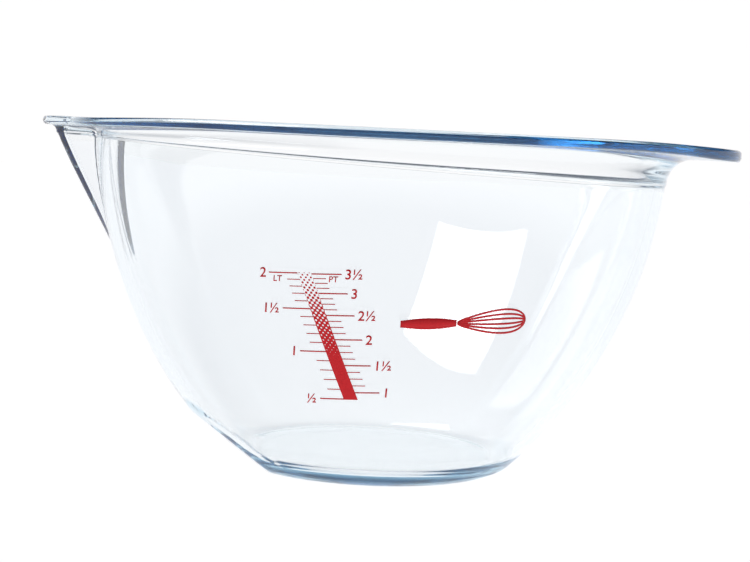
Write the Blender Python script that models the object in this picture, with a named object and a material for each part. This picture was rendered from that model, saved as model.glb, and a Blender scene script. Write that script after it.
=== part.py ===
"""Clear glass mixing bowl with a pouring spout, a broad handle flange, a flat base and a tilt face.

The bowl is one pressed piece of glass. Its measuring marks and the small whisk emblem are thin fired
enamel on the outside. Frame: the origin is the centre of the resting face, +Z is up, +X points to the
handle, -X to the spout, and the marks face -Y. Lengths are in metres and angles in degrees.
"""

import math

import bmesh
import bpy
from mathutils import Matrix, Vector

# Body of the bowl, a turned shape around Z
RIM_HEIGHT = 0.1420
WALL_TOP_RADIUS = 0.1186
WALL_TOP_BELOW_RIM = 0.0120
BASE_RADIUS = 0.0540
FOOT_RADIUS = 0.0606
FOOT_HEIGHT = 0.0029
FULLNESS = 1.71
FULLNESS_GAIN = 0.49
WALL_THICKNESS = 0.0044
FLOOR_THICKNESS = 0.0065
FLOOR_FLAT_RADIUS = 0.046
FLOOR_BLEND = 0.008

# Rim flange, with the handle at +X
RIM_REACH = 0.0120
RIM_THICKNESS = 0.0037
RIM_EDGE_RADIUS = 0.0017
COLLAR_BELOW_RIM = 0.0134
COLLAR_DROP = 0.0050
HANDLE_REACH = 0.0179
HANDLE_HALF_ANGLE = 26.0
HANDLE_EXTRA_THICKNESS = 0.0014
HANDLE_DROOP = 0.0023
SPOUT_SIDE_DIP = 0.0014
DIP_START_ANGLE = 65.0
DIP_END_ANGLE = 25.0

# Pouring spout at -X
SPOUT_DROP = 0.0618
SPOUT_DEPTH = 0.0225
SPOUT_HALF_WIDTH = 0.0170
SPOUT_FOOT_HALF_WIDTH = 0.0040
SPOUT_CURVE = 1.35
SPOUT_KEEL_ROUND = 0.10
SPOUT_FOOT_ROUND = 0.28
LIP_REACH = 0.0122
LIP_HALF_WIDTH = 0.036
LIP_DROOP = 0.0002

# Tilt face: a second flat that the bowl can lean on
TILT_ANGLE = 37.8
TILT_AZIMUTH = 199.5
TILT_DISTANCE = 0.0498
TILT_BLEND = 0.002

# Enamel marks on the wall that faces -Y
ENAMEL_GAP = 0.0003
ENAMEL_THICKNESS = 0.0005
ENAMEL_STEP = 0.00003
MARK_SLOPE = 2.6
SCALE_BOTTOM_OFFSET = -0.0075
SCALE_LEAN = -0.387
SCALE_WIDTH = 0.0052
LINE_THICKNESS = 0.0005
LONG_LINE = 0.0112
SHORT_LINE = 0.0050
HALF_LITRE_HEIGHT = 0.0400
ONE_LITRE_HEIGHT = 0.0591
ONE_AND_A_HALF_HEIGHT = 0.0756
TWO_LITRE_HEIGHT = 0.0890
LITRES_PER_PINT = 0.568261
FIRST_LITRES = 0.5
LAST_LITRES = 2.0
LITRE_STEPS = 5
FIRST_PINTS = 1.0
LAST_PINTS = 3.5
PINT_STEPS = 4
NUMERAL_HEIGHT = 0.0036
NUMERAL_WIDTH = 0.0021
NUMERAL_STROKE = 0.0005
NUMERAL_SPACE = 0.0012
UNIT_HEIGHT = 0.0022
UNIT_STROKE = 0.0004
EMBLEM_OFFSET = 0.0345
EMBLEM_HEIGHT = 0.0720
EMBLEM_LENGTH = 0.050
EMBLEM_DEPTH = 0.0125
EMBLEM_STROKE = 0.0009

# Smoothness of the curved surfaces
WALL_STEPS = 11
CORNER_STEPS = 4
COARSE_STEP = 5.0
FINE_STEP = 2.0
FINE_HALF_ANGLE = 22.0


# ---------------------------------------------------------------- scene, collections, materials


def clear_scene():
    for obj in list(bpy.data.objects):
        bpy.data.objects.remove(obj, do_unlink=True)


def new_collection(name):
    collection = bpy.data.collections.new(name)
    bpy.context.scene.collection.children.link(collection)
    return collection


def new_material(name, colour, roughness, transmission=0.0):
    material = bpy.data.materials.new(name)
    material.use_nodes = True
    shader = material.node_tree.nodes["Principled BSDF"]
    shader.inputs["Base Color"].default_value = (*colour, 1.0)
    shader.inputs["Roughness"].default_value = roughness
    shader.inputs["Metallic"].default_value = 0.0
    shader.inputs["Transmission Weight"].default_value = transmission
    return material


def add_object(name, bm, collection, material=None):
    """Turns a bmesh into a named object with its faces pointing outwards."""
    bmesh.ops.recalc_face_normals(bm, faces=bm.faces)
    mesh = bpy.data.meshes.new(name)
    bm.to_mesh(mesh)
    bm.free()
    mesh.shade_smooth()
    mesh.set_sharp_from_angle(angle=math.radians(35))
    obj = bpy.data.objects.new(name, mesh)
    if material:
        mesh.materials.append(material)
    collection.objects.link(obj)
    return obj


def add_helper(name, bm):
    """A cutter, or a stroke that is joined to another: it is never shown itself."""
    obj = add_object(name, bm, CUTTERS)
    obj.hide_render = True
    obj.display_type = "WIRE"
    return obj


def add_boolean(obj, other, operation):
    modifier = obj.modifiers.new(f"{operation.lower()} {other.name}", "BOOLEAN")
    modifier.operation = operation
    modifier.object = other
    modifier.solver = "EXACT"


# ---------------------------------------------------------------- the shape of the wall


def smooth_max(a, b, blend):
    """The larger of two values, rounded where they meet."""
    share = min(max(0.5 + 0.5 * (a - b) / blend, 0.0), 1.0)
    return share * a + (1 - share) * b + blend * share * (1 - share) / 2


def bump(distance, half_width):
    """1 at the middle, falling smoothly to 0 at the half width."""
    share = min(abs(distance) / half_width, 1.0)
    return (1 - share**2) ** 2


def wall_radius(z):
    """Outside radius of the turned wall at a height."""
    span = RIM_HEIGHT - WALL_TOP_BELOW_RIM - FOOT_HEIGHT
    below = min(max(1 - (z - FOOT_HEIGHT) / span, 0.0), 1.0)
    power = FULLNESS + FULLNESS_GAIN * below
    return WALL_TOP_RADIUS - (WALL_TOP_RADIUS - FOOT_RADIUS) * below**power


def wall_normal(z):
    """Outward unit normal (radial, vertical) of the turned wall."""
    reach = 0.0005
    slope = (wall_radius(z + reach) - wall_radius(z - reach)) / (2 * reach)
    length = math.hypot(1.0, slope)
    return 1 / length, -slope / length


def inside_point(z):
    """The inner wall's (radius, height), a wall thickness inside the outer one at height z."""
    radial, vertical = wall_normal(z)
    radius = wall_radius(z) - WALL_THICKNESS * radial
    height = z - WALL_THICKNESS * vertical
    return radius, smooth_max(height, FLOOR_THICKNESS, FLOOR_BLEND)


def spout_push(angle, z):
    """How far the spout pulls the wall outwards, at an angle in degrees and a height."""
    share = 1 - (RIM_HEIGHT - z) / SPOUT_DROP
    if share <= 0:
        return 0.0
    half_width = SPOUT_FOOT_HALF_WIDTH + (SPOUT_HALF_WIDTH - SPOUT_FOOT_HALF_WIDTH) * share
    arc = math.radians(abs(angle - 180)) * WALL_TOP_RADIUS
    away = math.hypot(arc / half_width, SPOUT_KEEL_ROUND) - SPOUT_KEEL_ROUND
    return SPOUT_DEPTH * share**SPOUT_CURVE * smooth_max(1 - 1.1 * away, 0.0, SPOUT_FOOT_ROUND)


def handle_share(angle):
    """1 along the middle of the handle, falling to 0 around the rest of the rim."""
    away = min(angle, 360 - angle)
    return 1 / (1 + (away / HANDLE_HALF_ANGLE) ** 4)


def dip_share(angle):
    """0 on the handle's half of the rim, rising smoothly to 1 at the spout's sides."""
    share = (DIP_START_ANGLE - abs(angle - 180)) / (DIP_START_ANGLE - DIP_END_ANGLE)
    share = min(max(share, 0.0), 1.0)
    return share**2 * (3 - 2 * share)


def lip_share(angle):
    arc = math.radians(abs(angle - 180)) * WALL_TOP_RADIUS
    return bump(arc, LIP_HALF_WIDTH)


def collar_height(angle):
    """Where the wall starts to flare into the rim: higher at the spout, lower at the handle."""
    return RIM_HEIGHT - COLLAR_BELOW_RIM - COLLAR_DROP * math.cos(math.radians(angle))


# ---------------------------------------------------------------- the glass


def rim_points(angle, wall_out, wall_in, start):
    """The flared rim from the top of the inner wall, over the flange, to the top of the outer wall."""
    handle, lip = handle_share(angle), lip_share(angle)
    edge = WALL_TOP_RADIUS + RIM_REACH + HANDLE_REACH * handle + LIP_REACH * lip
    top = RIM_HEIGHT - HANDLE_DROOP * handle**0.75 - SPOUT_SIDE_DIP * dip_share(angle) - LIP_DROOP * lip
    under = top - RIM_THICKNESS - HANDLE_EXTRA_THICKNESS * handle
    flat = edge - RIM_EDGE_RADIUS
    out_rise, in_rise = under - start, top - start
    out_run = min(0.9 * out_rise, 0.8 * (flat - wall_out))
    in_run = min(0.85 * in_rise, 0.8 * (flat - wall_in))
    turns = [math.radians(90 * i / CORNER_STEPS) for i in range(CORNER_STEPS + 1)]
    inner = [(wall_in + in_run * (1 - math.cos(t)), start + in_rise * math.sin(t)) for t in turns]
    outer = [(wall_out + out_run * (1 - math.cos(t)), start + out_rise * math.sin(t)) for t in turns]
    nose = []
    for centre, first in ((top - RIM_EDGE_RADIUS, 90), (under + RIM_EDGE_RADIUS, 0)):
        for turn in (first, first - 45, first - 90):
            way = math.radians(turn)
            nose.append((flat + RIM_EDGE_RADIUS * math.cos(way), centre + RIM_EDGE_RADIUS * math.sin(way)))
    return inner + nose + outer[::-1]


def section(angle):
    """One radial section of the bowl, from the middle of the floor to the middle of the base."""
    start = collar_height(angle)
    shares = [(i / WALL_STEPS) ** 1.25 for i in range(WALL_STEPS)]
    heights = [FOOT_HEIGHT + (start - FOOT_HEIGHT) * share for share in shares]
    inner = [(FLOOR_FLAT_RADIUS / 2, FLOOR_THICKNESS), (FLOOR_FLAT_RADIUS, FLOOR_THICKNESS)]
    for z in heights:
        radius, height = inside_point(z)
        inner.append((radius + spout_push(angle, height), height))
    push = spout_push(angle, start)
    wall_out = wall_radius(start) + push
    rim = rim_points(angle, wall_out, wall_out - WALL_THICKNESS, start)
    outer = [(wall_radius(z) + spout_push(angle, z), z) for z in heights[::-1]]
    middle = ((BASE_RADIUS + 2 * FOOT_RADIUS) / 3, FOOT_HEIGHT / 3)
    return inner + rim + outer + [middle, (BASE_RADIUS, 0.0)]


def tilt_frame():
    """The tilt face's outward normal, and the direction and slope in which it rises."""
    azimuth, angle = math.radians(TILT_AZIMUTH), math.radians(TILT_ANGLE)
    along = Vector((math.cos(azimuth), math.sin(azimuth), 0.0))
    normal = along * math.sin(angle) - Vector((0, 0, math.cos(angle)))
    return along, normal


def raise_to_tilt(point):
    """Lifts a point of the inner surface to a flat that runs a wall thickness above the tilt face."""
    along, _ = tilt_frame()
    angle = math.radians(TILT_ANGLE)
    rise = (point.dot(along) - TILT_DISTANCE) * math.tan(angle) + WALL_THICKNESS / math.cos(angle)
    return Vector((point.x, point.y, smooth_max(point.z, rise, TILT_BLEND)))


def section_angles():
    """Angles round the bowl, closer together at the spout."""
    angles = [i * COARSE_STEP for i in range(round(360 / COARSE_STEP))]
    angles = [a for a in angles if abs(a - 180) > FINE_HALF_ANGLE]
    count = round(2 * FINE_HALF_ANGLE / FINE_STEP)
    angles += [180 - FINE_HALF_ANGLE + i * FINE_STEP for i in range(count + 1)]
    return sorted(angles)


def loft(bm, rings):
    """Joins closed rings of equal count with quads."""
    for first, second in zip(rings, rings[1:]):
        for i in range(len(first)):
            j = (i + 1) % len(first)
            bm.faces.new((first[i], first[j], second[j], second[i]))


def fan(bm, ring, middle):
    for i in range(len(ring)):
        bm.faces.new((ring[i], ring[(i + 1) % len(ring)], middle))


def tilt_cutter():
    """A block whose upper face lies on the tilt face."""
    along, normal = tilt_frame()
    size = 0.16
    bm = bmesh.new()
    bmesh.ops.create_cube(bm, size=size)
    turn = (-normal).to_track_quat("Z", "Y").to_matrix().to_4x4()
    middle = along * TILT_DISTANCE + normal * size / 2
    bmesh.ops.transform(bm, matrix=Matrix.Translation(middle) @ turn, verts=bm.verts)
    return add_helper("tilt_face_cutter", bm)


def make_glass(material):
    angles = section_angles()
    sections = [section(angle) for angle in angles]
    inside_count = 2 + WALL_STEPS
    bm = bmesh.new()
    rings = []
    for station in range(len(sections[0])):
        ring = []
        for angle, points in zip(angles, sections):
            radius, height = points[station]
            way = math.radians(angle)
            point = Vector((radius * math.cos(way), radius * math.sin(way), height))
            if station < inside_count:
                point = raise_to_tilt(point)
            ring.append(bm.verts.new(point))
        rings.append(ring)
    loft(bm, rings)
    fan(bm, rings[0], bm.verts.new((0, 0, FLOOR_THICKNESS)))
    fan(bm, rings[-1], bm.verts.new((0, 0, 0)))
    glass = add_object("glass_bowl", bm, PARTS, material)
    add_boolean(glass, tilt_cutter(), "DIFFERENCE")
    return glass


# ---------------------------------------------------------------- enamel on the wall


def on_wall(u, v, lift):
    """A point of the print: u runs round the wall to the right, v is its height at the scale."""
    z = v + (u - SCALE_BOTTOM_OFFSET) * math.tan(math.radians(MARK_SLOPE))
    radius = wall_radius(z)
    way = u / radius
    radial, vertical = wall_normal(z)
    reach = radius + lift * radial
    return Vector((reach * math.sin(way), -reach * math.cos(way), z + lift * vertical))


def level_of(litres):
    """Height of the line for an amount, on a smooth curve through the four long litre lines."""
    heights = (HALF_LITRE_HEIGHT, ONE_LITRE_HEIGHT, ONE_AND_A_HALF_HEIGHT, TWO_LITRE_HEIGHT)
    place = (litres - FIRST_LITRES) * 2
    level = 0.0
    for i, height in enumerate(heights):
        share = 1.0
        for j in range(len(heights)):
            if j != i:
                share *= (place - j) / (i - j)
        level += share * height
    return level


def scale_offset(v):
    """Middle of the leaning bar at a height."""
    return SCALE_BOTTOM_OFFSET + (v - HALF_LITRE_HEIGHT) * SCALE_LEAN


def mark_volumes(first, last, steps):
    """(amount, whether the line is a long one) for each graduation."""
    count = round((last - first) * steps * 2)
    return [(first + i / (2 * steps), i % steps == 0) for i in range(count + 1)]


def film(name, quads, material, inset=0.0, helper=False):
    """A thin solid over a grid of print quads, each given as four (u, v) corners."""
    low, high = ENAMEL_GAP + inset, ENAMEL_GAP + ENAMEL_THICKNESS - inset
    bm = bmesh.new()
    corners = {}
    for quad in quads:
        for u, v in quad:
            key = (round(u, 7), round(v, 7))
            if key not in corners:
                corners[key] = [bm.verts.new(on_wall(*key, lift)) for lift in (low, high)]
    edges = {}
    for quad in quads:
        keys = [(round(u, 7), round(v, 7)) for u, v in quad]
        bm.faces.new([corners[k][1] for k in keys])
        bm.faces.new([corners[k][0] for k in reversed(keys)])
        for a, b in zip(keys, keys[1:] + keys[:1]):
            edges[a, b] = edges.get((a, b), 0) + 1
    for a, b in edges:
        if (b, a) not in edges:
            bm.faces.new((corners[b][1], corners[a][1], corners[a][0], corners[b][0]))
    if helper:
        return add_helper(name, bm)
    return add_object(name, bm, PARTS, material)


def make_scale(material):
    """The leaning bar with the litre lines on its left and the pint lines on its right."""
    left = mark_volumes(FIRST_LITRES, LAST_LITRES, LITRE_STEPS)
    right = mark_volumes(FIRST_PINTS, LAST_PINTS, PINT_STEPS)
    left = [(level_of(amount), long) for amount, long in left]
    right = [(level_of(amount * LITRES_PER_PINT), long) for amount, long in right]
    half = LINE_THICKNESS / 2
    top, bottom = left[-1][0] + half, left[0][0] - half
    rows = {bottom, top}
    for level, _ in left + right:
        rows |= {level - half, level + half}
    rows = sorted(row for row in rows if bottom <= row <= top)
    quads = []

    def edge(v, side):
        return scale_offset(v) + side * SCALE_WIDTH / 2

    for low, high in zip(rows, rows[1:]):
        quads.append(((edge(low, -1), low), (edge(low, 1), low), (edge(high, 1), high), (edge(high, -1), high)))
    for side, marks in ((-1, left), (1, right)):
        for level, long in marks:
            low, high = max(level - half, bottom), min(level + half, top)
            between = [row for row in rows if low <= row <= high]
            length = LONG_LINE if long else SHORT_LINE
            quads += line_quads(between, side, length, edge)
    return film("scale_bar", quads, material)


def line_quads(rows, side, length, edge):
    """A graduation that grows out of the bar's edge in a few steps, along the curve of the wall."""
    steps = max(round(length / 0.004), 1)
    quads = []
    for low, high in zip(rows, rows[1:]):
        for i in range(steps):
            near, far = side * length * i / steps, side * length * (i + 1) / steps
            a, b = edge(low, side), edge(high, side)
            quad = ((a + near, low), (a + far, low), (b + far, high), (b + near, high))
            quads.append(quad if side > 0 else quad[::-1])
    return quads


def arc_points(centre, radii, first, last, steps=6):
    """Points of an elliptical arc between two angles in degrees."""
    turns = [math.radians(first + (last - first) * i / steps) for i in range(steps + 1)]
    return [(centre[0] + radii[0] * math.cos(t), centre[1] + radii[1] * math.sin(t)) for t in turns]


# Strokes of each character in a box that is 1 wide and 1 high
STROKES = {
    "1": [[(0.5, 0.0), (0.5, 1.0)], [(0.2, 0.74), (0.5, 0.95)], [(0.1, 0.05), (0.9, 0.05)]],
    "2": [arc_points((0.5, 0.7), (0.38, 0.27), 165, -25) + [(0.12, 0.07)], [(0.05, 0.05), (0.92, 0.05)]],
    "3": [
        arc_points((0.45, 0.74), (0.36, 0.22), 160, -80),
        arc_points((0.45, 0.28), (0.42, 0.25), 85, -160),
    ],
    "L": [[(0.15, 0.0), (0.15, 1.0)], [(0.1, 0.06), (0.9, 0.06)]],
    "P": [[(0.2, 0.0), (0.2, 1.0)], [(0.15, 0.94), (0.6, 0.94)] + arc_points((0.6, 0.7), (0.3, 0.24), 90, -90)[1:] + [(0.1, 0.46)]],
    "T": [[(0.5, 0.0), (0.5, 1.0)], [(0.05, 0.94), (0.95, 0.94)]],
    "/": [[(0.0, 0.0), (1.0, 1.0)]],
}


def stroke_quads(points, width):
    """A ribbon of quads along a line of points."""
    sides = []
    for i, point in enumerate(points):
        before, after = points[max(i - 1, 0)], points[min(i + 1, len(points) - 1)]
        run = Vector((after[0] - before[0], after[1] - before[1])).normalized()
        across = Vector((-run.y, run.x)) * width / 2
        sides.append(((point[0] + across.x, point[1] + across.y), (point[0] - across.x, point[1] - across.y)))
    return [(b[1], b[0], a[0], a[1]) for a, b in zip(sides, sides[1:])]


def enamel_strokes(name, strokes, width, material):
    """Joins crossing ribbons into one film. Each lies a little inside the last, so none is flush."""
    first = None
    for index, points in enumerate(strokes):
        inset = ENAMEL_STEP * index
        made = film(f"{name}_{index}" if index else name, stroke_quads(points, width), material, inset, index > 0)
        if first:
            add_boolean(first, made, "UNION")
        else:
            first = made
    return first


def placed(character, u, v, width, height):
    """The strokes of a character with its lower left corner at (u, v)."""
    return [[(u + x * width, v + y * height) for x, y in stroke] for stroke in STROKES[character]]


def fraction_strokes(u, v):
    """One half, with its slash touching both small digits."""
    wide, high = NUMERAL_WIDTH * 0.62, NUMERAL_HEIGHT * 0.56
    over = placed("1", u, v + NUMERAL_HEIGHT - high, wide, high)
    under = placed("2", u + wide * 1.05, v, wide, high)
    slash = placed("/", u + wide * 0.26, v, wide * 1.45, NUMERAL_HEIGHT)
    return slash + over + under


def make_label(name, amount, u, v, material):
    """A whole number, a half, or both side by side. (u, v) is the middle of its left edge."""
    whole, half = int(amount), amount % 1 > 0
    low = v - NUMERAL_HEIGHT / 2
    if whole:
        tail = "_whole" if half else ""
        strokes = placed(str(whole), u, low, NUMERAL_WIDTH, NUMERAL_HEIGHT)
        enamel_strokes(name + tail, strokes, NUMERAL_STROKE, material)
        u += NUMERAL_WIDTH + NUMERAL_SPACE / 2
    if half:
        enamel_strokes(name + "_half", fraction_strokes(u, low), NUMERAL_STROKE, material)


def label_width(amount):
    whole, half = int(amount) > 0, amount % 1 > 0
    return NUMERAL_WIDTH * (whole + 1.45 * half) + NUMERAL_SPACE / 2 * (whole and half)


def make_labels(material):
    """Numerals at the outer end of each long line, litres on the left and pints on the right."""
    reach = SCALE_WIDTH / 2 + LONG_LINE + NUMERAL_SPACE
    for amount, long in mark_volumes(FIRST_LITRES, LAST_LITRES, LITRE_STEPS):
        if long:
            v = level_of(amount)
            u = scale_offset(v) - reach - label_width(amount)
            make_label(f"litres_{int(amount)}", amount, u, v, material)
    for amount, long in mark_volumes(FIRST_PINTS, LAST_PINTS, PINT_STEPS):
        if long:
            v = level_of(amount * LITRES_PER_PINT)
            make_label(f"pints_{int(amount)}", amount, scale_offset(v) + reach, v, material)


def make_units(material):
    """Small L and PT under the two top lines."""
    top = level_of(LAST_LITRES)
    v = top - LINE_THICKNESS - UNIT_HEIGHT - 0.0006
    left = scale_offset(top) - SCALE_WIDTH / 2 - LONG_LINE / 2 - UNIT_HEIGHT
    right = scale_offset(top) + SCALE_WIDTH / 2 + LONG_LINE * 0.66
    units = (("unit_litre", "L", left), ("unit_pint_p", "P", right), ("unit_pint_t", "T", right + UNIT_HEIGHT))
    for name, character, u in units:
        enamel_strokes(name, placed(character, u, v, UNIT_HEIGHT * 0.65, UNIT_HEIGHT), UNIT_STROKE, material)


def make_emblem(material):
    """A balloon whisk lying on its side: a round-ended handle and three nested wire loops."""
    left = EMBLEM_OFFSET - EMBLEM_LENGTH / 2
    middle = EMBLEM_HEIGHT - (EMBLEM_OFFSET - SCALE_BOTTOM_OFFSET) * math.tan(math.radians(MARK_SLOPE))
    neck = left + EMBLEM_LENGTH * 0.42
    centre = left + EMBLEM_LENGTH * 0.74
    handle = [(left + EMBLEM_LENGTH * 0.42 * i / 6, middle) for i in range(7)]
    strokes = []
    for share in (1.0, 0.6, 0.22):
        height = EMBLEM_DEPTH / 2 * share
        round_end = arc_points((centre, middle), (EMBLEM_LENGTH * 0.26, height), 110, -110, 14)
        strokes.append([(neck - 0.001, middle)] + round_end + [(neck - 0.001, middle - 0.0002)])
    whisk = film("whisk_emblem", stroke_quads(handle, EMBLEM_DEPTH * 0.3), material)
    for index, points in enumerate(strokes):
        upper, lower = points[: len(points) // 2 + 1], points[len(points) // 2 - 1 :]
        for side, half in (("upper", upper), ("lower", lower)):
            inset = ENAMEL_STEP * (2 * index + (1 if side == "upper" else 2))
            helper = film(f"whisk_loop_{index}_{side}", stroke_quads(half, EMBLEM_STROKE), None, inset, True)
            add_boolean(whisk, helper, "UNION")


clear_scene()
PARTS = new_collection("Mixing bowl")
CUTTERS = new_collection("Cutters and joined strokes")
GLASS = new_material("clear glass", (0.90, 0.95, 0.97), 0.02, transmission=1.0)
ENAMEL = new_material("red enamel", (0.52, 0.016, 0.022), 0.35)
make_glass(GLASS)
make_scale(ENAMEL)
make_labels(ENAMEL)
make_units(ENAMEL)
make_emblem(ENAMEL)
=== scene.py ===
import math
import bmesh
import bpy
from mathutils import Matrix, Vector


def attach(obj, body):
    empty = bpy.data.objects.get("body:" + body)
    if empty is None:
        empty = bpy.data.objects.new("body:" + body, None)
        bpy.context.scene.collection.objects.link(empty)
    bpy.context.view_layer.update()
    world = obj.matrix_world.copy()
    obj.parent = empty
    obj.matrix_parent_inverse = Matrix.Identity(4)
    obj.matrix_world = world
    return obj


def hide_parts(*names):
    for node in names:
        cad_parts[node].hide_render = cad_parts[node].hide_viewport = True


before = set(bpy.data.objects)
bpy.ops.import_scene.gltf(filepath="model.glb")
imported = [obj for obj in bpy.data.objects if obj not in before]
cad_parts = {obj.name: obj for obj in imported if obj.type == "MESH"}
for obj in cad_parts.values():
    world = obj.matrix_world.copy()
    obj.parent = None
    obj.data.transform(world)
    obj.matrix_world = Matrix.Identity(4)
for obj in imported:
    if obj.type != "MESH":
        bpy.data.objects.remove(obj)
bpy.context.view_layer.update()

# ------------------------------------------------------------------ the bowl
# One gob of clear glass, pressed in a mould. The rim of the turned wall flares into a flat flange, which
# widens into a handle at +X and is drawn out into the spout at -X. A second flat across the heel lets the
# bowl lean while something is whisked in it. It stands on its base at z = 0.

rim_height = 0.1420
collar_height = 0.1286
collar_drop = 0.0050
collar_ledge = 0.0004
ledge_height = 0.0002
ledge_drops = (0.0005, 0.0008)
inner_collar_rise = 0.42
wall_top_height = 0.1300
wall_top_radius = 0.1186
foot_radius = 0.0606
foot_height = 0.0029
foot_curve = 1.35
base_radius = 0.0540
floor_radius = 0.0485
fullness = 1.71
fullness_gain = 0.49
wall_thickness = 0.0044
floor_thickness = 0.0065
floor_blend = 0.008

rim_reach = 0.0120
rim_thickness = 0.0037
rim_edge_radius = 0.0017
outer_fillet_run = 0.9
inner_fillet_run = 0.85
fillet_flange_share = 0.8
handle_reach = 0.0179
handle_half_angle = 26.0
handle_squareness = 4
handle_extra_thickness = 0.0014
handle_droop = 0.0023
handle_droop_curve = 0.75
spout_side_dip = 0.0014
side_dip_end = 65
side_dip_blend = 40

spout_drop = 0.0618
spout_depth = 0.0225
spout_half_width = 0.0170
spout_foot_half_width = 0.0040
spout_curve = 1.35
spout_side_slope = 1.1
spout_keel_round = 0.10
spout_foot_round = 0.28
lip_reach = 0.0122
lip_half_width = 0.036
lip_droop = 0.0002

tilt_angle = math.radians(37.8)
tilt_azimuth = math.radians(199.5)
tilt_distance = 0.0498
tilt_edge = 0.0012
inner_tilt_edge = 0.004

# How closely the mould follows these curves: rings in each part of the section, and angles in degrees.
wall_rings = 48
wall_ring_gather = 1.3
collar_rings = 4
fillet_steps = 14
flange_rings = 6
edge_step = 15
foot_rings = 4
floor_rings = 25
floor_ring_step = 0.0019
base_rings = 29
base_ring_step = 0.0018
fine_half_angle = 24


def smooth_max(a, b, blend):
    """The larger of two values, rounded where they meet."""
    share = min(max(0.5 + 0.5 * (a - b) / blend, 0.0), 1.0)
    return share * a + (1 - share) * b + blend * share * (1 - share) / 2


def bump(distance, half_width):
    """1 at the middle, falling smoothly to 0 at the half width."""
    share = min(abs(distance) / half_width, 1.0)
    return (1 - share**2) ** 2


def wall_radius(z):
    span = wall_top_height - foot_height
    below = min(max(1 - (z - foot_height) / span, 0.0), 1.0)
    return wall_top_radius - (wall_top_radius - foot_radius) * below ** (fullness + fullness_gain * below)


def wall_normal(z):
    reach = 0.0005
    slope = (wall_radius(z + reach) - wall_radius(z - reach)) / (2 * reach)
    length = math.hypot(1.0, slope)
    return 1 / length, -slope / length


def inner_wall_point(z):
    """Radius and height of the inner wall, one wall thickness in from the outer wall at height z."""
    radial, vertical = wall_normal(z)
    height = z - wall_thickness * vertical
    return wall_radius(z) - wall_thickness * radial, smooth_max(height, floor_thickness, floor_blend)


def arc_from_spout(angle):
    return math.radians(abs(angle - 180)) * wall_top_radius


def spout_pull(angle, z):
    """How far the spout draws the wall outwards."""
    share = 1 - (rim_height - z) / spout_drop
    if share <= 0:
        return 0.0
    half_width = spout_foot_half_width + (spout_half_width - spout_foot_half_width) * share
    away = math.hypot(arc_from_spout(angle) / half_width, spout_keel_round) - spout_keel_round
    return spout_depth * share**spout_curve * smooth_max(1 - spout_side_slope * away, 0.0, spout_foot_round)


def rim_section(angle, wall_out, wall_in, start):
    """From the top of the inner wall, over the flange and its round edge, to the top of the outer wall."""
    away = min(angle, 360 - angle)
    handle = 1 / (1 + (away / handle_half_angle) ** handle_squareness)
    dip = min(max((side_dip_end - abs(angle - 180)) / side_dip_blend, 0.0), 1.0)
    dip = dip**2 * (3 - 2 * dip)
    lip = bump(arc_from_spout(angle), lip_half_width)
    edge = wall_top_radius + rim_reach + handle_reach * handle + lip_reach * lip
    top = rim_height - handle_droop * handle**handle_droop_curve - spout_side_dip * dip - lip_droop * lip
    under = top - rim_thickness - handle_extra_thickness * handle
    flat = edge - rim_edge_radius
    inner_start = start + inner_collar_rise * (top - start)
    out_rise, in_rise = under - start, top - inner_start
    out_run = min(outer_fillet_run * out_rise, fillet_flange_share * (flat - wall_out))
    in_run = min(inner_fillet_run * in_rise, fillet_flange_share * (flat - wall_in))
    points = [(wall_in, start + (inner_start - start) * i / collar_rings) for i in range(collar_rings)]
    for i in range(fillet_steps + 1):
        turn = math.radians(90 * i / fillet_steps)
        points.append((wall_in + in_run * (1 - math.cos(turn)), inner_start + in_rise * math.sin(turn)))
    flange_start = points[-1][0]
    for i in range(1, flange_rings):
        points.append((flange_start + (flat - flange_start) * i / flange_rings, top))
    for centre, first in ((top - rim_edge_radius, 90), (under + rim_edge_radius, 0)):
        for i in range(90 // edge_step + 1):
            turn = math.radians(first - edge_step * i)
            out, rise = rim_edge_radius * math.cos(turn), rim_edge_radius * math.sin(turn)
            points.append((flat + out, centre + rise))
    flange_end = wall_out + out_run
    for i in range(1, flange_rings):
        points.append((flat + (flange_end - flat) * i / flange_rings, under))
    for i in range(fillet_steps, -1, -1):
        turn = math.radians(90 * i / fillet_steps)
        points.append((wall_out + out_run * (1 - math.cos(turn)), start + out_rise * math.sin(turn)))
    points.insert(-1, (wall_out, start + ledge_height))
    return points


def bowl_section(angle):
    """One radial section, from the middle of the inner floor to the middle of the base."""
    start = collar_height - collar_drop * math.cos(math.radians(angle))
    rise = start - foot_height
    heights = [foot_height + rise * (i / wall_rings) ** wall_ring_gather for i in range(wall_rings)]
    inner = [(floor_ring_step * i, floor_thickness) for i in range(1, floor_rings + 1)]
    for z in heights:
        radius, height = inner_wall_point(z)
        if radius > floor_radius:
            inner.append((radius + spout_pull(angle, height), height))
    wall_out = wall_radius(start) + spout_pull(angle, start)
    rim = rim_section(angle, wall_out + collar_ledge, wall_out - wall_thickness, start)
    under_ledge = [start - drop for drop in ledge_drops]
    outer = [(wall_radius(z) + spout_pull(angle, z), z) for z in under_ledge + heights[::-1]]
    chamfer = []
    for i in range(1, foot_rings + 1):
        share = i / foot_rings
        radius = foot_radius + (base_radius - foot_radius) * share
        chamfer.append((radius, foot_height * (1 - share) ** foot_curve))
    base = [(base_radius - base_ring_step * i, 0.0) for i in range(1, base_rings + 1)]
    return inner, rim, outer + chamfer + base


def lean_on(point, lift, edge):
    """Raises a point onto the tilt face, or onto the slope that stands that much above it."""
    along = point.x * math.cos(tilt_azimuth) + point.y * math.sin(tilt_azimuth)
    rise = (along - tilt_distance) * math.tan(tilt_angle) + lift
    return Vector((point.x, point.y, smooth_max(point.z, rise, edge)))


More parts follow.
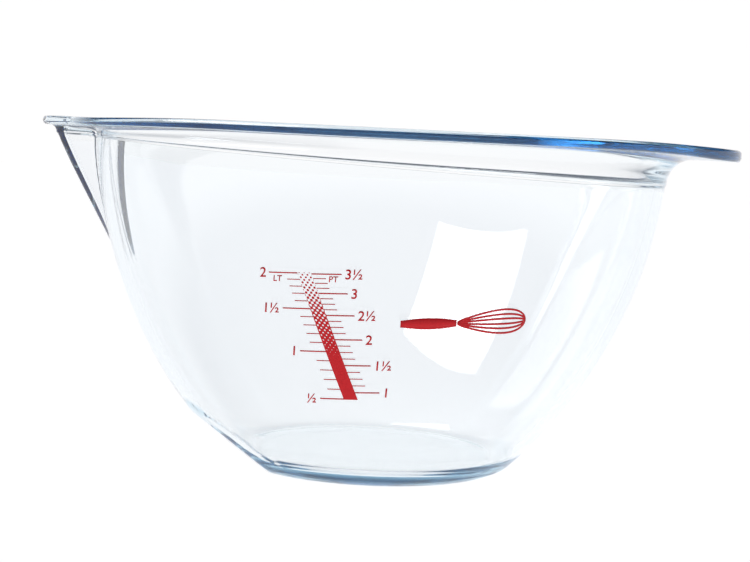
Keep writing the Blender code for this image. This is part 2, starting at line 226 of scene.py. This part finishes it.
def press_bowl():
    """Lofts the sections all the way round, a degree apart, and half a degree apart at the spout."""
    angles = [float(a) for a in range(360) if abs(a - 180) > fine_half_angle]
    angles = sorted(angles + [180 - fine_half_angle + 0.5 * i for i in range(4 * fine_half_angle + 1)])
    inner_lift = wall_thickness / math.cos(tilt_angle)
    bm = bmesh.new()
    columns = []
    for angle in angles:
        inner, rim, outer = bowl_section(angle)
        way = math.radians(angle)
        column = []
        for part, points in enumerate((inner, rim, outer)):
            for radius, height in points:
                point = Vector((radius * math.cos(way), radius * math.sin(way), height))
                if part == 0:
                    point = lean_on(point, inner_lift, inner_tilt_edge)
                if part == 2:
                    point = lean_on(point, 0.0, tilt_edge)
                column.append(bm.verts.new(point))
        columns.append(column)
    for first, second in zip(columns, columns[1:] + columns[:1]):
        for i in range(len(first) - 1):
            bm.faces.new((first[i], second[i], second[i + 1], first[i + 1]))
    floor_middle = bm.verts.new((0, 0, floor_thickness))
    base_middle = bm.verts.new((0, 0, 0))
    for first, second in zip(columns, columns[1:] + columns[:1]):
        bm.faces.new((first[0], floor_middle, second[0]))
        bm.faces.new((first[-1], second[-1], base_middle))
    bmesh.ops.recalc_face_normals(bm, faces=bm.faces)
    mesh = bpy.data.meshes.new("pressed_bowl")
    bm.to_mesh(mesh)
    bm.free()
    mesh.shade_smooth()
    bowl = bpy.data.objects.new("pressed_bowl", mesh)
    bpy.context.scene.collection.objects.link(bowl)
    return bowl


def clear_glass():
    """Clear glass, very slightly wavy, with a faint blue tint that grows with its thickness."""
    material = bpy.data.materials.new("clear_pressed_glass")
    material.use_nodes = True
    nodes, links = material.node_tree.nodes, material.node_tree.links
    shader = nodes["Principled BSDF"]
    shader.inputs["Base Color"].default_value = (1.0, 1.0, 1.0, 1.0)
    shader.inputs["Transmission Weight"].default_value = 1.0
    shader.inputs["IOR"].default_value = 1.52
    place = nodes.new("ShaderNodeTexCoord")
    wave = nodes.new("ShaderNodeTexNoise")
    wave.inputs["Scale"].default_value = 38.0
    wave.inputs["Detail"].default_value = 1.5
    links.new(place.outputs["Object"], wave.inputs["Vector"])
    waviness = nodes.new("ShaderNodeBump")
    waviness.inputs["Strength"].default_value = 0.012
    waviness.inputs["Distance"].default_value = 0.002
    links.new(wave.outputs["Fac"], waviness.inputs["Height"])
    links.new(waviness.outputs["Normal"], shader.inputs["Normal"])
    film = nodes.new("ShaderNodeTexNoise")
    film.inputs["Scale"].default_value = 420.0
    film.inputs["Detail"].default_value = 3.0
    links.new(place.outputs["Object"], film.inputs["Vector"])
    polish = nodes.new("ShaderNodeMapRange")
    polish.inputs["From Min"].default_value = 0.3
    polish.inputs["From Max"].default_value = 0.7
    polish.inputs["To Min"].default_value = 0.0
    polish.inputs["To Max"].default_value = 0.018
    links.new(film.outputs["Fac"], polish.inputs["Value"])
    links.new(polish.outputs["Result"], shader.inputs["Roughness"])
    tint = nodes.new("ShaderNodeVolumeAbsorption")
    tint.inputs["Color"].default_value = (0.14, 0.57, 0.77, 1.0)
    tint.inputs["Density"].default_value = 11.0
    links.new(tint.outputs["Volume"], nodes["Material Output"].inputs["Volume"])
    return material


bowl = press_bowl()
bowl.data.materials.append(clear_glass())
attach(bowl, "root")
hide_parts("glass_bowl")

# ------------------------------------------------------------------ the measuring scale
# Red ceramic enamel, screen printed on the outside of the wall and fired. A leaning bar carries the litre
# lines on its left and the pint lines on its right. The print sits a little askew, its right side higher.

mark_slope = math.tan(math.radians(2.6))
ink_lift = 0.00006
ink_thickness = 0.00014
bar_foot = -0.0075
bar_lean = -0.387
bar_width = 0.0052
long_line_width = 0.00044
short_line_width = 0.00030
long_line = 0.0111
long_line_at_foot = 0.0090
short_line = 0.0048
line_step = 0.0016
dot_pitch = 0.00095
net_step = 0.00010
fade_start = 0.0565
fade_end = 0.0885
full_ink = 1.02
fade_strength = 1.50
litre_heights = (0.0400, 0.0591, 0.0756, 0.0890)
litres_per_pint = 0.568261


def on_wall(u, v, lift=ink_lift):
    """A point of the print: u runs round the wall to the right, v is its height at the foot of the bar."""
    z = v + (u - bar_foot) * mark_slope
    radius = wall_radius(z)
    way = u / radius
    radial, vertical = wall_normal(z)
    reach = radius + lift * radial
    return Vector((reach * math.sin(way), -reach * math.cos(way), z + lift * vertical))


def level_of(litres):
    """Height of the line for an amount, on a smooth curve through the four long litre lines."""
    place = (litres - 0.5) * 2
    level = 0.0
    for i, height in enumerate(litre_heights):
        share = 1.0
        for j in range(4):
            if j != i:
                share *= (place - j) / (i - j)
        level += share * height
    return level


def bar_middle(v):
    return bar_foot + (v - litre_heights[0]) * bar_lean


def long_line_at(v):
    """The long lines get shorter towards the foot of the bar."""
    share = (v - litre_heights[0]) / (litre_heights[3] - litre_heights[0])
    return long_line_at_foot + (long_line - long_line_at_foot) * share


def lay_ink(name, bm, material, nodes):
    """Bends a flat print onto the wall, gives it its thickness and puts it on the bowl."""
    for vert in bm.verts:
        vert.co = on_wall(vert.co.x, vert.co.y)
    bmesh.ops.recalc_face_normals(bm, faces=bm.faces)
    mesh = bpy.data.meshes.new(name)
    bm.to_mesh(mesh)
    bm.free()
    for face in mesh.polygons:
        outwards = face.center.x * face.normal.x + face.center.y * face.normal.y > 0
        if not outwards:
            face.flip()
    mesh.shade_smooth()
    ink = bpy.data.objects.new(name, mesh)
    bpy.context.scene.collection.objects.link(ink)
    body = ink.modifiers.new("fired thickness", "SOLIDIFY")
    body.thickness = ink_thickness
    body.offset = 1.0
    mesh.materials.append(material)
    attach(ink, "root")
    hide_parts(*nodes)


def red_enamel():
    material = bpy.data.materials.new("fired_red_enamel")
    material.use_nodes = True
    nodes, links = material.node_tree.nodes, material.node_tree.links
    shader = nodes["Principled BSDF"]
    shader.inputs["Specular IOR Level"].default_value = 0.22
    place = nodes.new("ShaderNodeTexCoord")
    grain = nodes.new("ShaderNodeTexNoise")
    grain.inputs["Scale"].default_value = 2600.0
    grain.inputs["Detail"].default_value = 2.0
    links.new(place.outputs["Object"], grain.inputs["Vector"])
    colour = nodes.new("ShaderNodeValToRGB")
    colour.color_ramp.elements[0].position = 0.32
    colour.color_ramp.elements[0].color = (0.46, 0.003, 0.008, 1.0)
    colour.color_ramp.elements[1].position = 0.62
    colour.color_ramp.elements[1].color = (0.60, 0.007, 0.014, 1.0)
    links.new(grain.outputs["Fac"], colour.inputs["Fac"])
    links.new(colour.outputs["Color"], shader.inputs["Base Color"])
    gloss = nodes.new("ShaderNodeMapRange")
    gloss.inputs["To Min"].default_value = 0.22
    gloss.inputs["To Max"].default_value = 0.5
    links.new(grain.outputs["Fac"], gloss.inputs["Value"])
    links.new(gloss.outputs["Result"], shader.inputs["Roughness"])
    relief = nodes.new("ShaderNodeBump")
    relief.inputs["Strength"].default_value = 0.25
    relief.inputs["Distance"].default_value = 0.0001
    links.new(grain.outputs["Fac"], relief.inputs["Height"])
    links.new(relief.outputs["Normal"], shader.inputs["Normal"])
    return material


def ink_field(u, v):
    """Above 0 where the bar is inked: solid at the bottom, breaking into ever smaller dots upwards."""
    across = (u - bar_middle(v)) / dot_pitch
    along = v / dot_pitch
    dots = math.cos(math.pi * (across + along)) + math.cos(math.pi * (across - along))
    fade = (v - fade_start) / (fade_end - fade_start)
    return dots / 2 + full_ink - fade_strength * max(fade, 0.0)


def halftone_cells(bm):
    """Cuts the bar out of a fine net of squares, along the edge of the ink."""
    columns = round(bar_width / net_step)
    low, high = litre_heights[0] - long_line_width / 2, litre_heights[3] + long_line_width / 2
    rows = round((high - low) / net_step)
    corner, crossing = {}, {}

    def place(i, j):
        v = low + (high - low) * j / rows
        return bar_middle(v) + bar_width * (i / columns - 0.5), v

    def corner_vert(i, j):
        if (i, j) not in corner:
            corner[i, j] = bm.verts.new((*place(i, j), 0.0))
        return corner[i, j]

    def crossing_vert(a, b):
        key = (min(a, b), max(a, b))
        if key not in crossing:
            value_a, value_b = values[a[0]][a[1]], values[b[0]][b[1]]
            share = value_a / (value_a - value_b)
            start, end = place(*a), place(*b)
            point = [p + (q - p) * share for p, q in zip(start, end)]
            crossing[key] = bm.verts.new((*point, 0.0))
        return crossing[key]

    values = [[ink_field(*place(i, j)) for j in range(rows + 1)] for i in range(columns + 1)]
    for i in range(columns):
        for j in range(rows):
            loop = [(i, j), (i + 1, j), (i + 1, j + 1), (i, j + 1)]
            inked = [values[a][b] > 0 for a, b in loop]
            if not any(inked):
                continue
            outline = []
            for k in range(4):
                here, there = loop[k], loop[(k + 1) % 4]
                if inked[k]:
                    outline.append(corner_vert(*here))
                if inked[k] != inked[(k + 1) % 4]:
                    outline.append(crossing_vert(here, there))
            if len(outline) > 2:
                bm.faces.new(outline)


def line_cells(bm, v, side, is_long):
    """One graduation, from the bar's edge outwards, following the curve of the wall."""
    length, width = (long_line_at(v), long_line_width) if is_long else (short_line, short_line_width)
    steps = max(round(length / line_step), 2)
    low, high = v - width / 2, v + width / 2
    pairs = []
    for i in range(steps + 1):
        reach = side * (bar_width / 2 + length * i / steps)
        pairs.append([bm.verts.new((bar_middle(at) + reach, at, 0.0)) for at in (low, high)])
    for near, far in zip(pairs, pairs[1:]):
        bm.faces.new((near[0], far[0], far[1], near[1]))


enamel = red_enamel()
scale = bmesh.new()
halftone_cells(scale)
for i in range(16):
    line_cells(scale, level_of(0.5 + 0.1 * i), -1, i % 5 == 0)
for i in range(21):
    v = level_of((1 + i / 8) * litres_per_pint)
    line_cells(scale, v, 1, i % 4 == 0)
lay_ink("scale_print", scale, enamel, ["scale_bar"])

# ------------------------------------------------------------------ numerals and units
# Printed in the same pass as the scale, with the same enamel: a number at the outer end of each long line,
# and the unit under the two top lines.

numeral_height = 0.0036
numeral_space = 0.0011
unit_height = 0.0022
unit_gap = 0.0006
litre_unit_inset = 0.85
pint_unit_inset = 0.58
type_lean = 0.04
type_weight = 0.018
capital_share = 0.69
weld_distance = 0.000002


def set_type(bm, text, u, v, height, side="left"):
    """Sets a number or a unit in a plain upright face, with its lower edge at v."""
    curve = bpy.data.curves.new("type", "FONT")
    curve.body = text
    curve.size = height / capital_share
    curve.shear = type_lean
    curve.align_x = "RIGHT" if side == "right" else "LEFT"
    curve.resolution_u = 4
    curve.offset = height * type_weight
    curve.fill_mode = "FRONT"
    setting = bpy.data.objects.new("type", curve)
    bpy.context.scene.collection.objects.link(setting)
    depsgraph = bpy.context.evaluated_depsgraph_get()
    flat = bpy.data.meshes.new_from_object(setting.evaluated_get(depsgraph))
    bpy.data.objects.remove(setting)
    for vert in flat.vertices:
        vert.co = Vector((vert.co.x + u, vert.co.y + v, 0.0))
    bm.from_mesh(flat)
    bpy.data.meshes.remove(flat)
    bmesh.ops.remove_doubles(bm, verts=bm.verts, dist=weld_distance)


def label(name, amount, u, v, side):
    """A whole number, a half, or both."""
    whole, half = int(amount), amount % 1 > 0
    text = (str(whole) if whole else "") + ("½" if half else "")
    bm = bmesh.new()
    set_type(bm, text, u, v - numeral_height / 2, numeral_height, side=side)
    nodes = []
    if whole:
        nodes.append(name + ("_whole" if half else ""))
    if half:
        nodes.append(name + "_half")
    lay_ink(name + ("_and_a_half" if half else "_even"), bm, enamel, nodes)


def label_reach(v):
    """How far a number stands from the middle of the bar."""
    return bar_width / 2 + long_line_at(v) + numeral_space


for amount in (0.5, 1.0, 1.5, 2.0):
    v = level_of(amount)
    label(f"litres_{int(amount)}", amount, bar_middle(v) - label_reach(v), v, "right")
for amount in (1.0, 1.5, 2.0, 2.5, 3.0, 3.5):
    v = level_of(amount * litres_per_pint)
    label(f"pints_{int(amount)}", amount, bar_middle(v) + label_reach(v), v, "left")

top_line = litre_heights[3]
unit_line = top_line - long_line_width - unit_height - unit_gap
litre_place = bar_middle(top_line) - bar_width / 2 - long_line * litre_unit_inset
pint_place = bar_middle(top_line) + bar_width / 2 + long_line * pint_unit_inset
letters = bmesh.new()
set_type(letters, "LT", litre_place, unit_line, unit_height)
lay_ink("unit_litres", letters, enamel, ["unit_litre"])
letters = bmesh.new()
set_type(letters, "PT", pint_place, unit_line, unit_height)
lay_ink("unit_pints", letters, enamel, ["unit_pint_p", "unit_pint_t"])

# ------------------------------------------------------------------ the whisk emblem
# A plain drawing of a balloon whisk lying on its side, printed to the right of the scale in the same red
# enamel: a solid grip on the left, and three wire loops.

emblem_offset = 0.0345
emblem_height = 0.0720
emblem_length = 0.050
emblem_depth = 0.0125
grip_share = 0.42
grip_steps = 16
grip_end_width = 0.0021
grip_swell = 0.0022
grip_swell_curve = 0.7
wire_spreads = (1.0, 0.60, 0.22)
wire_middle = 0.71
wire_reach = 0.28
wire_waist = 0.35
wire_width = 0.00075
wire_steps = 48


def ribbon(bm, points, widths):
    """A stroke of ink along a line, with a width at each point."""
    sides = []
    for i, point in enumerate(points):
        before, after = points[max(i - 1, 0)], points[min(i + 1, len(points) - 1)]
        run = Vector((after[0] - before[0], after[1] - before[1])).normalized()
        half = widths[i] / 2
        left = bm.verts.new((point[0] - run.y * half, point[1] + run.x * half, 0.0))
        right = bm.verts.new((point[0] + run.y * half, point[1] - run.x * half, 0.0))
        sides.append((left, right))
    for a, b in zip(sides, sides[1:]):
        bm.faces.new((a[1], b[1], b[0], a[0]))


whisk = bmesh.new()
left_end = emblem_offset - emblem_length / 2
middle = emblem_height - (emblem_offset - bar_foot) * mark_slope
grip, swell = [], []
for i in range(grip_steps + 1):
    grip.append((left_end + emblem_length * grip_share * i / grip_steps, middle))
    along = min(max(i / grip_steps, 0.04), 0.97)
    swell.append(grip_end_width + grip_swell * math.sin(math.pi * along) ** grip_swell_curve)
ribbon(whisk, grip, swell)
for spread in wire_spreads:
    loop = []
    for i in range(wire_steps + 1):
        turn = math.radians(-180 + 360 * i / wire_steps)
        stretch = 0.5 + 0.5 * math.cos(turn)
        height = emblem_depth / 2 * spread * math.sin(turn) * (wire_waist + (1 - wire_waist) * stretch)
        along = wire_middle + wire_reach * math.cos(turn)
        loop.append((left_end + emblem_length * along, middle + height))
    ribbon(whisk, loop, [wire_width] * len(loop))
lay_ink("whisk_print", whisk, enamel, ["whisk_emblem"])

# ------------------------------------------------------------------ floor, light and camera
# A pale studio floor that glows white, a surround that is white round the horizon and dark blue-grey
# overhead, one large soft box in front on the left, and a long lens level with the rim.

white_light = (1.0, 0.985, 0.985, 1.0)
dim_blue = (0.075, 0.10, 0.145, 1.0)
dark_overhead = (0.05, 0.065, 0.09, 1.0)


def pale_floor():
    bm = bmesh.new()
    bmesh.ops.create_grid(bm, x_segments=40, y_segments=40, size=4.0)
    mesh = bpy.data.meshes.new("studio_floor")
    bm.to_mesh(mesh)
    bm.free()
    floor = bpy.data.objects.new("studio_floor", mesh)
    floor.location.z = -0.0001
    bpy.context.scene.collection.objects.link(floor)
    material = bpy.data.materials.new("pale_floor")
    material.use_nodes = True
    shader = material.node_tree.nodes["Principled BSDF"]
    shader.inputs["Base Color"].default_value = (0.40, 0.40, 0.41, 1.0)
    shader.inputs["Roughness"].default_value = 0.7
    shader.inputs["Specular IOR Level"].default_value = 0.2
    shader.inputs["Emission Color"].default_value = white_light
    shader.inputs["Emission Strength"].default_value = 0.945
    mesh.materials.append(material)


def soft_surround():
    world = bpy.data.worlds.new("soft_surround")
    world.use_nodes = True
    nodes, links = world.node_tree.nodes, world.node_tree.links
    place = nodes.new("ShaderNodeTexCoord")
    parts = nodes.new("ShaderNodeSeparateXYZ")
    links.new(place.outputs["Generated"], parts.inputs["Vector"])
    colour = nodes.new("ShaderNodeValToRGB")
    stops = colour.color_ramp.elements
    stops[0].color = white_light
    stops[1].color = dark_overhead
    for height, shade in ((0.22, white_light), (0.38, dim_blue)):
        stops.new(height).color = shade
    links.new(parts.outputs["Z"], colour.inputs["Fac"])
    links.new(colour.outputs["Color"], nodes["Background"].inputs["Color"])
    nodes["Background"].inputs["Strength"].default_value = 1.02
    bpy.context.scene.world = world


def soft_box(name, place, aim, size, power, roll):
    """A rectangular light turned towards a point, and rolled by some degrees about that line."""
    light = bpy.data.lights.new(name, "AREA")
    light.shape = "RECTANGLE"
    light.size, light.size_y = size
    light.energy = power
    box = bpy.data.objects.new(name, light)
    box.location = place
    facing = (Vector(aim) - Vector(place)).to_track_quat("-Z", "Y").to_matrix()
    box.rotation_euler = (facing @ Matrix.Rotation(math.radians(roll), 3, "Z")).to_euler()
    bpy.context.scene.collection.objects.link(box)
    box.visible_diffuse = False


pale_floor()
soft_surround()
soft_box("front_left_soft_box", (-0.501, -0.286, 0.608), (0.045, 0.095, 0.080), (0.644, 0.424), 5.5, 6.3)

lens_place = (-0.0005, -0.7538, 0.14194)
lens_dip = 4.914
lens_roll = 2.751
lens = bpy.data.cameras.new("long_lens")
lens.sensor_width = 36.0
lens.lens = 85.73
camera = bpy.data.objects.new("long_lens", lens)
down = Matrix.Rotation(math.radians(90 - lens_dip), 4, "X")
roll = Matrix.Rotation(math.radians(lens_roll), 4, "Z")
camera.matrix_world = Matrix.Translation(lens_place) @ down @ roll
bpy.context.scene.collection.objects.link(camera)
bpy.context.scene.camera = camera
bpy.context.scene.view_settings.view_transform = "Standard"
bpy.context.scene.cycles.max_bounces = 64
bpy.context.scene.cycles.transmission_bounces = 64
bpy.context.scene.cycles.glossy_bounces = 64
